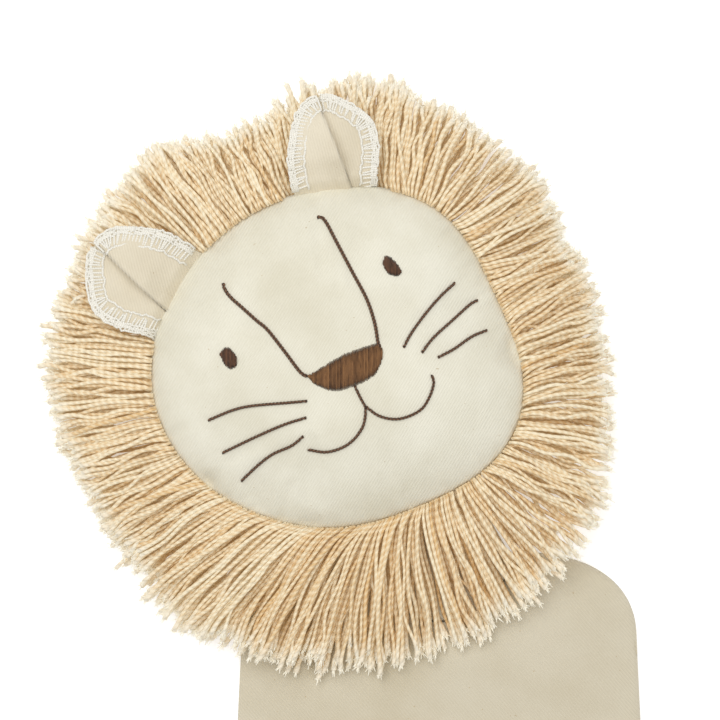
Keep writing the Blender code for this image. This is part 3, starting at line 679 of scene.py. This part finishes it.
def cord_paths(layer):
    """Across, up and height of one layer's cords, (n, k) each, from root to tip.

    Each cord runs out from the seam along the radius. It leans to its tuft's middle and by a
    chance angle, waves from side to side, and droops from its layer's height at the seam to
    its layer's height at the tip, which lies on the table or on the chest.
    """
    draw = np.random.default_rng(100 + layer)
    depth = layer / (LAYERS - 1)               # 0 is the back layer, 1 the front one
    count = CORDS_PER_LAYER
    angle = (np.arange(count) + draw.uniform(-0.45, 0.45, count)) * 2 * math.pi / count
    tufts = TUFTS + MORE_TUFTS * layer
    number = np.floor(np.mod(angle, 2 * math.pi) / (2 * math.pi) * tufts).astype(int)
    tuft = (np.floor(angle / (2 * math.pi) * tufts) + 0.5
            + draw.uniform(-0.35, 0.35, tufts + 1)[number]) / tufts * 2 * math.pi
    length = (mane_length(angle) * 0.985 + draw.normal(0, TUFT_LENGTHS, tufts + 1)[number]
              + draw.normal(0, CORD_LENGTHS, count) - 0.0008 * depth)
    w = np.linspace(0, 1, CORD_STEPS)
    out = length[:, None] * w
    gather = draw.uniform(*GATHER, count)[:, None]
    sweep = np.interp(angle, np.radians(MANE_SWEEP[:, 0]), np.radians(MANE_SWEEP[:, 1]),
                      period=2 * math.pi)
    sweep = sweep + draw.normal(0, TUFT_LEAN, tufts + 1)[number]
    lean = np.tan(sweep + draw.normal(0, CORD_LEAN, count))[:, None]
    stray = (draw.random(count) < STRAYS)[:, None] * draw.normal(0, STRAY_LEAN, count)[:, None]
    out = out * (1 - 0.35 * np.abs(stray))
    waves = draw.uniform(*WAVES, count)[:, None]
    phase = draw.uniform(0, 2 * math.pi, count)[:, None]
    sway = draw.uniform(*SWAY, count)[:, None]
    sideways = lean * length[:, None] * w ** 0.72 + stray * out + sway * (
        np.sin(2 * math.pi * waves * w + phase) - np.sin(phase)) * (0.3 + w)
    root = face_radius(angle) - ROOT_DEPTH + 0.0004 * below_chin(angle)
    radius = root[:, None] + out
    turned = angle[:, None] + (tuft - angle)[:, None] * gather * w ** 1.2 * 0.8
    u = radius * np.cos(turned) - sideways * np.sin(turned)
    v = radius * np.sin(turned) + sideways * np.cos(turned)
    root_z = SEAM_Z - FRINGE_LAYER + 2 * FRINGE_LAYER * depth - 0.0006
    from_ear = np.abs(angle[:, None] - np.array(EAR_SEATS)).min(1)[:, None]
    under_ear = np.clip((EAR_HALF_SEAT - from_ear) / EAR_SEAT_EDGE, 0, 1)
    root_z = root_z - under_ear * (EAR_PRESS + EAR_PRESS_MORE * depth)
    chest = below_chin(angle)[:, None]
    spread = 0.0010 + TIP_SPREAD * depth
    tip_z = (TIP_LOW * (1 - chest) + (CHEST_TOP - 0.0025) * chest) + spread
    bounce = draw.uniform(0, 1, count)[:, None]
    z = root_z + (tip_z - root_z) * w ** (1.5 + 0.6 * bounce)
    z = z + under_ear * 0.0030 * np.sin(math.pi * w) * depth
    z = z + 0.0016 * depth * np.sin(math.pi * w) * bounce + draw.normal(0, 0.00035, count)[:, None]
    z = z + 0.0006 * np.sin(2 * math.pi * waves * 1.3 * w + 2 * phase) * w
    return u, v, z, w, draw


def cord_material():
    """Soft two-ply cotton cord: matt and warm, with its plies' slanting grooves in painted shade.

    Each cord has its own tint, partly at random and partly painted shade near the seam, in the
    back layers and over the sleeve; the cut ends pale to fluff, and a fine noise stands for
    loose fibres. A faint warm glow stands for the light that spreads inside the cotton, so the
    gaps between the cords stay golden.
    """
    material, shader = new_material(
        "undyed_cotton_cord", 0.9, 0.05, Specular_IOR_Level=0.1,
        Emission_Color=linear(CORD_GLOW), Emission_Strength=0.09)
    ply = twist(material, CORD_TWIST)
    place = add_node(material, "TexCoord", output="Object")
    fluff = add_node(material, "TexNoise", {"Scale": COTTON_FIBRES, "Detail": 3.0},
                     {"Vector": place}, "Fac")
    tint, tip = (add_node(material, "Attribute", {"attribute_name": name}, output="Fac")
                 for name in ("tint", "tip"))
    grooved = add_node(material, "Math", {"operation": "MULTIPLY_ADD", 1: 0.36},
                       {0: ply, 2: tint})
    fibrous = add_node(material, "Math", {"operation": "MULTIPLY_ADD", 1: 0.3},
                       {0: fluff, 2: grooved})
    cord = shade_between(material, fibrous, CORD_DARK, CORD_LIGHT, 0.1, 0.95)
    faded = add_node(material, "Mix", {"data_type": "RGBA", 7: linear(TIP_COLOUR)},
                     {0: tip, 6: cord}, 2)
    height = add_node(material, "Math", {"operation": "MULTIPLY_ADD", 1: 0.5},
                      {0: fluff, 2: ply})
    return finish_surface(material, shader, faded, height, 0.8, CORD_RELIEF)


def swept_floor(x, y):
    """Highest cloth of the body that comes under a place of the mane in the neck's swing.

    The place is turned about the neck's joint by even steps over its range, and the front
    panel's height is taken wherever it then lies on the sleeve.
    """
    pivot, sense = joints["neck_tilt"]["pos_m"], np.sign(joints["neck_tilt"]["axis"][2])
    dx, dy = x - pivot[0], y - pivot[1]
    highest = np.zeros(np.shape(x))
    for turn in np.radians(np.linspace(*NECK_SWING, 21)) * sense:
        px = pivot[0] + dx * math.cos(turn) - dy * math.sin(turn)
        py = pivot[1] + dx * math.sin(turn) + dy * math.cos(turn)
        on_cloth = (np.abs(px) < half_width(py)) & (py < 0)
        highest = np.maximum(highest, np.where(
            on_cloth, front_cloth_height(px, np.minimum(py, 0)), 0.0))
    return highest


def frayed_ends(paths, draw):
    """Short fibres that open out from each cord's cut end in a loose brush.

    Each runs along the cord's own direction plus a chance one, and bends by the square of
    the share of its length.
    """
    ahead = paths[:, -1] - paths[:, -3]
    ahead /= np.linalg.norm(ahead, axis=1, keepdims=True)
    count = len(paths) * FIBRES
    start = np.repeat(paths[:, -1] - ahead * 0.0010, FIBRES, 0)
    heading = np.repeat(ahead, FIBRES, 0) + draw.normal(0, 0.23, (count, 3)) * (1, 1, 0.5)
    heading /= np.linalg.norm(heading, axis=1, keepdims=True)
    reach = draw.uniform(SHORTEST_FIBRE, LONGEST_FIBRE, count)
    curl = draw.normal(0, 0.25, (count, 3)) * (1, 1, 0.4)
    k = np.linspace(0, 1, 4)[:, None]
    path = (start[:, None] + heading[:, None] * reach[:, None, None] * k
            + curl[:, None] * reach[:, None, None] * k ** 2 * 0.5)
    path[..., 2] = np.maximum(path[..., 2], swept_floor(path[..., 0], path[..., 1]) + 0.0006)
    return path, np.linspace(FIBRE_THICK, FIBRE_THIN, 4)[None].repeat(count, 0)


cotton_cord = cord_material()
cotton_fluff, _ = new_material(
    "loose_cotton_fibre", 1.0, 0.1, Specular_IOR_Level=0.05, Base_Color=linear(TIP_COLOUR),
    Emission_Color=linear(TIP_COLOUR), Emission_Strength=0.2)
# the fibres are so fine that light passes through and round them, which the glow stands for
fringe_nodes = {0: ("mane_back_fringe", "beard_back_fringe"), 2: ("mane_heading_tape",),
                LAYERS - 1: ("mane_front_fringe", "beard_front_fringe")}
for layer in range(LAYERS):
    u, v, z, w, draw = cord_paths(layer)
    depth = layer / (LAYERS - 1)
    paths = on_head(u, v, z)
    on_sleeve = (np.abs(paths[..., 0]) < half_width(paths[..., 1])) & (paths[..., 1] < 0)
    floor = swept_floor(paths[..., 0], paths[..., 1]) + CORD_RADIUS * 1.5 + 0.0004 + (
        0.0022 * w * depth)
    paths[..., 2] = np.maximum(paths[..., 2], floor)
    count = len(paths)
    radii = CORD_RADIUS * draw.uniform(0.85, 1.12, count)[:, None] * (     # open at the end
        0.82 + 0.18 * np.clip(w / 0.15, 0, 1) + 0.45 * np.clip((w - 0.9) / 0.1, 0, 1))
    # each cord's tone differs at random; painted shade makes it darker near the seam, in the back
    # layers and where it lies over the sleeve
    tint = (np.clip(draw.normal(0.40, 0.14, count), 0, 1)[:, None] - 0.12 * (1 - w) ** 3
            - 0.16 * (1 - depth) - 0.10 * on_sleeve.any(1)[:, None])
    tip = np.clip((w - 0.86) / 0.12, 0, 1) * 0.85
    cords = threads(f"mane_cords_{layer + 1}", paths, radii, cotton_cord, tint=tint, tip=tip)
    fluff = threads(f"mane_frayed_ends_{layer + 1}", *frayed_ends(paths, draw), cotton_fluff,
                    sides=3)
    for piece in (cords, fluff):
        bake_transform(piece)
    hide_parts(*fringe_nodes.get(layer, ()))


# ==== Embroidery ============================================================================
# Dark brown rayon thread. Lines are stem stitch: short slanting stitches that each overlap
# the one before. Nose and eyes are satin stitch: threads laid side by side from edge to edge.
LINE_WIDTH = 0.0010
THIN_LINE = 0.00082              # whiskers and smile
STEM_LENGTH = 0.0027
STEM_PITCH = 0.00125
SATIN_PITCH = 0.00046
THREAD_SINK, THREAD_RISE = 0.00005, 0.00060      # at a stitch's ends and in its middle
KNOT_LENGTH = 0.0011
LINES = {
    "left_bridge_line": [(-18.6, 42.8), (-19.2, 40.7), (-18.8, 37.1), (-17.0, 31.7),
        (-15.0, 25.6), (-13.3, 20.9), (-11.9, 11.5), (-10.8, 2.8), (-9.4, 0.0)],
    "right_bridge_line": [(21.0, 46.3), (22.3, 45.8), (22.9, 42.9), (22.6, 35.7), (22.1, 22.9),
        (21.7, 12.9), (20.0, 4.6), (17.8, -1.4), (17.2, -3.4)],
    "philtrum_line": [(3.2, -10.7), (2.8, -15.0), (2.7, -19.3)],
    "left_smile_line": [(2.7, -19.3), (0.7, -22.3), (-2.0, -24.9), (-6.6, -26.9),
        (-11.5, -27.3), (-17.1, -25.8), (-21.9, -22.1)],
    "right_smile_line": [(2.9, -19.0), (5.0, -23.8), (8.8, -27.5), (13.4, -29.3), (18.9, -29.5),
        (23.3, -27.4), (27.1, -24.0), (28.1, -21.1)],
    "left_whisker_1": [(-13.7, -7.3), (-19.9, -4.4), (-31.1, 0.8), (-37.9, 2.9), (-46.9, 4.1)],
    "left_whisker_2": [(-16.8, -12.1), (-24.5, -10.4), (-35.0, -9.2), (-48.4, -8.2)],
    "left_whisker_3": [(-20.9, -17.2), (-26.3, -18.0), (-33.3, -17.3), (-39.8, -18.1),
        (-47.8, -20.0)],
    "right_whisker_1": [(24.3, -7.9), (29.5, -4.8), (36.8, -1.6), (44.3, 1.0), (51.2, 2.6)],
    "right_whisker_2": [(28.9, -12.6), (35.2, -10.1), (44.4, -8.1), (52.1, -6.5), (55.2, -6.6)],
    "right_whisker_3": [(32.9, -16.8), (39.2, -17.1), (46.9, -16.5), (52.8, -17.3)],
}
# across and up on the face, from its middle, in millimetres


def run_length(points):
    """Length along a line from its start to each of its points."""
    return np.concatenate([[0], np.cumsum(np.linalg.norm(np.diff(points, axis=0), axis=1))])


def smooth_line(points, step):
    """Points at even steps along a smooth curve through the given ones.

    Between two points it is the cubic whose slope at each is half the step from the point
    before to the point after.
    """
    padded = np.concatenate([2 * points[:1] - points[1:2], points,
                             2 * points[-1:] - points[-2:-1]])
    k = np.linspace(0, 1, 20, endpoint=False)[:, None]
    a, b, c, d = (padded[i:len(padded) - 3 + i, None] for i in range(4))
    curve = 0.5 * (2 * b + (c - a) * k + (2 * a - 5 * b + 4 * c - d) * k ** 2
                   + (3 * b - a - 3 * c + d) * k ** 3)
    curve = np.concatenate([curve.reshape(-1, 2), points[-1:]])
    length = run_length(curve)
    at = np.linspace(0, length[-1], max(2, int(round(length[-1] / step)) + 1))
    return np.stack([np.interp(at, length, curve[:, i]) for i in range(2)], -1)


def along_line(fine, at):
    """Place and unit direction, as four arrays, at the given lengths along a fine line."""
    ahead = np.gradient(fine, axis=0)
    ahead /= np.linalg.norm(ahead, axis=1, keepdims=True)
    length = run_length(fine)
    return [np.interp(at, length, part) for part in (*fine.T, *ahead.T)]


def stem_stitches(name, points, material, width):
    """Overlapping stitches along a line: each runs from one side of it to the other.

    A stitch's height and thickness follow half a sine from its one end to its other. A
    short thicker knot closes the line at both ends.
    """
    fine = smooth_line(points, 0.0003)
    whole = run_length(fine)[-1]
    start = np.arange(0, max(whole - STEM_PITCH, STEM_PITCH), STEM_PITCH)
    k = np.linspace(0, 1, 9)
    u, v, du, dv = along_line(fine, np.minimum(start[:, None] + k * STEM_LENGTH, whole))
    across = (k - 0.5) * width
    u, v = u - dv * across, v + du * across
    swell = np.sin(math.pi * k)
    lift = THREAD_SINK + THREAD_RISE * swell ** 0.8
    paths = on_head(u, v, face_height(u, v) + lift)
    thick = np.broadcast_to(width * 0.36 * (0.4 + 0.65 * swell ** 0.5), u.shape)
    ends = np.array([0, whole])[:, None] + np.array([[1.0], [-1.0]]) * (k * KNOT_LENGTH)
    u, v = along_line(fine, ends)[:2]
    knots = on_head(u, v, face_height(u, v) + 0.0003)
    knob = np.broadcast_to(width * 0.66 * (0.3 + 0.7 * swell ** 0.5), u.shape)
    return threads(name, np.concatenate([paths, knots]), np.concatenate([thick, knob]), material)


def satin_patch(name, centre, shape, material, draw):
    """Threads side by side across a patch, a little proud of the face in the middle.

    The shape gives the patch's upper and lower edge at places across it, from its centre,
    and each thread runs straight from the one edge to the other.
    """
    across = np.arange(shape[0, 0] + 0.0002, shape[-1, 0], SATIN_PITCH)
    top, bottom = (np.interp(across, shape[:, 0], shape[:, i])
                   + draw.normal(0, 0.00012, len(across)) for i in (1, 2))
    k = np.linspace(0, 1, 9)
    y = bottom[:, None] + (top - bottom)[:, None] * k
    x = np.broadcast_to(across[:, None], y.shape)
    u = x * RIGHT[0] + y * RIGHT[1] + centre[0]
    v = x * UP[0] + y * UP[1] + centre[1]
    swell = np.sin(math.pi * k)
    lift = THREAD_SINK + THREAD_RISE * swell ** 0.45
    radii = SATIN_PITCH * 0.62 * (0.45 + 0.55 * swell ** 0.35)
    tint = draw.normal(0.52, 0.15, len(u))[:, None] + draw.normal(0, 0.10, u.shape)
    # painted shade: each thread is darker towards both its ends, where it dips into the face
    tint = tint - 0.45 * np.abs(2 * k - 1) ** 5
    return threads(name, on_head(u, v, face_height(u, v) + lift),
                   np.broadcast_to(radii, u.shape), material, tint=tint)


brown_thread = thread_material("brown_embroidery_thread", "#7d5a40", "#1f130b", 0.5, 1.5, 0.1)
nose_thread = thread_material("brown_satin_stitch", "#91673f", "#432810", 0.45, 0.5, 0.1, True)
eye_thread = thread_material("dark_brown_satin_stitch", "#6d4a33", "#22150c", 0.45, 0.5, 0.1,
                             True)
NOSE = np.array([(-12.7, -3.0, -3.3), (-10.8, -1.9, -5.6), (-8.6, -0.4, -6.9), (-5.9, 1.1, -7.9),
                 (-3.2, 2.8, -8.4), (-0.1, 4.5, -7.9), (3.0, 5.7, -6.7), (6.2, 6.8, -5.4),
                 (8.8, 7.7, -3.9), (11.1, 8.3, -1.9), (12.4, 7.7, 0.9), (13.1, 6.3, 4.0)]) / 1000
LEFT_EYE = np.array([(-3.2, 1.9, 1.7), (-2.3, 2.9, -0.6), (-1.4, 3.9, -2.5), (0.0, 3.8, -3.6),
                     (1.1, 3.0, -3.7), (2.2, 1.7, -3.0), (2.9, 0.0, -2.0)]) / 1000
RIGHT_EYE = np.array([(-3.2, 1.8, 0.6), (-2.6, 3.3, -1.0), (-1.7, 3.6, -2.4), (-0.6, 3.2, -3.2),
                      (0.8, 1.8, -3.6), (2.3, -0.1, -3.4), (3.2, -1.6, -2.2)]) / 1000
# place across the patch, and its upper and lower edge there, in the puppet's frame

stitched = {name: stem_stitches(f"{name}_stitches", np.array(points) / 1000, brown_thread,
                                LINE_WIDTH if "bridge" in name else THIN_LINE)
            for name, points in LINES.items()}
satin_draw = np.random.default_rng(21)
for name, centre, shape, thread in (("nose", (0.0034, -0.0036), NOSE, nose_thread),
                                    ("left_eye", (-0.0299, 0.0190), LEFT_EYE, eye_thread),
                                    ("right_eye", (0.0351, 0.0185), RIGHT_EYE, eye_thread)):
    stitched[f"{name}_embroidery"] = satin_patch(f"{name}_satin_stitch", centre, shape, thread,
                                                 satin_draw)
for node, piece in stitched.items():
    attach(piece, "head")
    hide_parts(node)


# ==== Ears ==================================================================================
# Each ear is one piece of twill with a pleat pressed across it, so its left half lies over
# its right half. The raw edge is overlocked in white thread, and the base is in the seam.
EAR_BASE = np.array([-14.3, 7.0, 1.6, 13.6]) / 1000        # left, fold, under-fold, right
EAR_FLAP_EDGE = np.array([(-14.3, -5.0), (-14.5, -1.7), (-14.9, 8.6), (-12.6, 18.6),
                          (-9.6, 25.6), (-5.6, 29.4), (-2.6, 30.2)]) / 1000
EAR_TUCK_EDGE = np.array([(-2.6, 30.2), (-4.0, 28.8)]) / 1000
EAR_BACK_EDGE = np.array([(-4.0, 28.8), (-1.3, 30.6), (3.5, 29.6), (9.1, 25.8), (14.2, 21.3),
                          (15.9, 16.8), (16.3, 9.6), (15.0, 2.5), (13.8, -5.0)]) / 1000
EAR_ROOT = -0.0065
EAR_SHIFT = 0.0016               # the outline's zero line lies this far outside the hinge
EAR_CLOTH = 0.0007
EAR_LEVELS = np.array([0.0006, 0.0016, 0.0030])            # half behind, tuck, flap
EAR_BULGE, EAR_ROOT_SINK = 0.0018, 0.0046
LEFT_EAR_WIDER = 1.17
PLEAT_LIP, PLEAT_LIP_SHARE = 0.0026, 0.22        # how high the pressed fold stands, how wide
HALF_COLUMNS, TUCK_COLUMNS, EAR_ROWS = 26, 8, 30
OVERLOCK_WIDTH = 0.0053
OVERLOCK_PITCH = 0.00125
OVERLOCK_THREAD, RUN_THREAD = 0.00036, 0.00042   # half of each thread's thickness
OVERLOCK_RUNS = (OVERLOCK_WIDTH, -0.0003, 0.0004, 0.0010, 0.0016)    # distances from the edge
OVERLOCK_WOBBLE = 0.00022
LOOP_RISE, LOOP_OVERHANG, LOOP_DROP = 0.00022, 0.0005, 0.0009    # over and round the edge


def ear_frame(name):
    """The ear's hinge point and its across and outward directions, from its joint."""
    joint = joints[f"{name}_fold"]
    across = np.array(joint["axis"], float)
    return np.array(joint["pos_m"], float), across, np.array([-across[1], across[0], 0.0])


def in_ear(name, x, y, z):
    """From across, outward and height at the ear's base to the puppet's frame.

    The left ear is the right one's mirror image and a little wider.
    """
    origin, across, out = ear_frame(name)
    if name == "left_ear":
        x = -LEFT_EAR_WIDER * x
    return (origin + x[..., None] * across + (y + EAR_SHIFT)[..., None] * out
            + z[..., None] * np.array([0, 0, 1.0]))


def ear_lift(x, y, layer):
    """Height of the ear's cloth: layer 0 is the half behind, 1 the tuck, 2 the flap.

    It is the layer's level, sunk towards the seam, plus half a sine and a slow fall towards
    the tip, and a faint ripple across.
    """
    level = EAR_LEVELS[layer] * np.clip(y / 0.008, 0.25, 1)
    sunk = np.clip((0.0015 - y) / 0.0055, 0, 1)
    droop = -0.055 * y - 1.6 * y * y - EAR_ROOT_SINK * sunk * sunk * (3 - 2 * sunk)
    return level + droop + EAR_BULGE * np.sin(np.clip(y / 0.032, 0, 1) * math.pi) + (
        0.0006 * np.sin(x * 260 + 1.0) * np.clip(y / 0.02, 0, 1))


def ear_strip(base, edge, columns):
    """Cloth between a stretch of the base and a stretch of the edge: straight lines from
    one to the other, at even shares of both."""
    fine = smooth_line(edge, 0.0002)
    share = np.linspace(0, 1, columns)
    ex, ey = (np.interp(share, np.linspace(0, 1, len(fine)), part) for part in fine.T)
    bx = base[0] + (base[1] - base[0]) * share
    t = np.linspace(0, 1, EAR_ROWS)[:, None]
    return bx + (ex - bx) * t, EAR_ROOT + (ey - EAR_ROOT) * t


def ear_cloth():
    """The flap, the tuck under it and the half behind, as one folded sheet.

    The pressed fold stands up in a lip that fades away from it and towards both its ends.
    """
    parts = []
    for base, edge, low, high, columns in (
            (EAR_BASE[:2], EAR_FLAP_EDGE, 2, 2, HALF_COLUMNS),
            (EAR_BASE[1:3], EAR_TUCK_EDGE, 2, 0, TUCK_COLUMNS),
            (EAR_BASE[2:], EAR_BACK_EDGE, 0, 0, HALF_COLUMNS)):
        x, y = ear_strip(base, edge, columns)
        blend = np.linspace(0, 1, columns)[None]
        z = ear_lift(x, y, low) * (1 - blend) + ear_lift(x, y, high) * blend
        if low == high == 2:
            lip = np.clip(y / 0.008, 0, 1) * np.clip((0.024 - y) / 0.008, 0, 1)
            z = z + PLEAT_LIP * np.exp(-((blend - 1) / PLEAT_LIP_SHARE) ** 2) * lip
        parts.append(np.stack([x, y, z], -1)[:, (0 if not parts else 1):])
    return np.concatenate(parts, 1)


def overlock(name, edge, layer, seed):
    """Overlock stitches: loops over the raw edge, and threads that run along it.

    A loop goes straight in from the edge, a little slanted, and its first point is bent
    down round the cloth. The running threads wobble about even distances from the edge.
    """
    fine = smooth_line(edge, 0.0002)
    whole = run_length(fine)[-1]
    draw = np.random.default_rng(seed)
    at = np.arange(0.0004, whole, OVERLOCK_PITCH)
    k = np.linspace(0, 1, 8)
    slant = draw.normal(0.0009, 0.0005, len(at))[:, None]
    x, y, dx, dy = along_line(fine, np.clip(at[:, None] + slant * k, 0, whole))
    width = OVERLOCK_WIDTH * draw.normal(0.97, 0.09, len(at))[:, None]
    inward = k * width - LOOP_OVERHANG
    x, y = x + dy * inward, y - dx * inward
    z = ear_lift(x, y, layer) + LOOP_RISE * np.sin(math.pi * np.clip(k + 0.1, 0, 1))
    z[:, 0] -= LOOP_DROP
    paths = [in_ear(name, x, y, z)]
    for inset in OVERLOCK_RUNS:
        at = np.linspace(0, whole, 9 * max(2, int(whole / 0.008)))
        x, y, dx, dy = along_line(fine, at)
        inward = inset + draw.normal(0, OVERLOCK_WOBBLE, len(at))
        x, y = x + dy * inward, y - dx * inward
        run = in_ear(name, x, y, ear_lift(x, y, layer) + 0.0002)
        paths.append(run[np.arange(0, len(run) - 7, 7)[:, None] + np.arange(8)])
    thick = [np.full(path.shape[:2], OVERLOCK_THREAD if path is paths[0] else RUN_THREAD)
             for path in paths]
    return np.concatenate(paths), np.concatenate(thick)


ear_twill = twill_material("cotton_twill_ear", math.radians(105.0), "#e2d8c2", "#d0c4aa")
white_thread = thread_material("white_overlock_thread", "#f7f4ea", "#eae5d8", 0.9, 0.8)
for number, (name, flat_width, area) in enumerate((("left_ear", 0.049, 0.0017),
                                                   ("right_ear", 0.042, 0.0015))):
    cloth = cloth_sheet(f"{name}_twill", in_ear(name, *np.moveaxis(ear_cloth(), 2, 0)),
                        ear_twill, EAR_CLOTH, flip=name == "left_ear")
    flap, behind = (overlock(name, EAR_FLAP_EDGE[1:], 2, number),
                    overlock(name, EAR_BACK_EDGE[1:], 0, 10 + number))
    stitching = threads(f"{name}_overlock_stitches", np.concatenate([flap[0], behind[0]]),
                        np.concatenate([flap[1], behind[1]]), white_thread)
    origin, across, out = ear_frame(name)
    for piece in (cloth, stitching):
        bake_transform(piece)
    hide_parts(f"{name}_cloth")
    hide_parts(f"{name}_overlock")


# ==== Table, light and camera ===============================================================
# A plain white sheet under the puppet, two broad soft lights and an even sky round it, seen
# from straight above.
VIEW_WIDTH = 0.252
VIEW_CENTRE = (-0.028, 0.06685, 0.0)
VIEW_LEVEL = 0.02                # the view is this wide at the height of the face
CAMERA_HEIGHT = 1.6
SENSOR = 36.0
TABLE_REACH, TABLE_TOP = 4.0, -0.0004
LIGHTS = {"key_light": ((-0.40, 0.50, 1.15), 1.1, 8.6),       # place, side and power
          "fill_light": ((0.6, -0.4, 1.1), 1.0, 3.2)}
SKY_STRENGTH = 0.58

table = make_mesh("table", [(x * TABLE_REACH, y * TABLE_REACH, TABLE_TOP)
                            for x, y in ((-1, -1), (1, -1), (1, 1), (-1, 1))],
                  np.array([[0, 1, 2, 3]]))
white_paper, _ = new_material("white_paper", 0.9, Base_Color=linear("#f4f4f4"),
                              Emission_Color=linear("#ffffff"), Emission_Strength=0.35)
table.data.materials.append(white_paper)

for name, (place, side, power) in LIGHTS.items():
    light = bpy.data.lights.new(name, "AREA")
    light.shape, light.size, light.energy = "SQUARE", side, power
    lamp = bpy.data.objects.new(name, light)
    lamp.location = place
    aim = Vector(VIEW_CENTRE) - Vector(place)
    lamp.rotation_euler = aim.to_track_quat("-Z", "Y").to_euler()
    bpy.context.scene.collection.objects.link(lamp)

sky = bpy.data.worlds.new("studio")
sky.use_nodes = True
sky.node_tree.nodes["Background"].inputs["Color"].default_value = linear("#ffffff")
sky.node_tree.nodes["Background"].inputs["Strength"].default_value = SKY_STRENGTH
bpy.context.scene.world = sky
bpy.context.scene.view_settings.view_transform = "Standard"    # colours as they are

camera = bpy.data.cameras.new("camera")
camera.sensor_width = SENSOR
camera.lens = SENSOR * (CAMERA_HEIGHT - VIEW_LEVEL) / VIEW_WIDTH
camera_object = bpy.data.objects.new("camera", camera)
camera_object.location = (*VIEW_CENTRE[:2], CAMERA_HEIGHT)
bpy.context.scene.collection.objects.link(camera_object)
bpy.context.scene.camera = camera_object
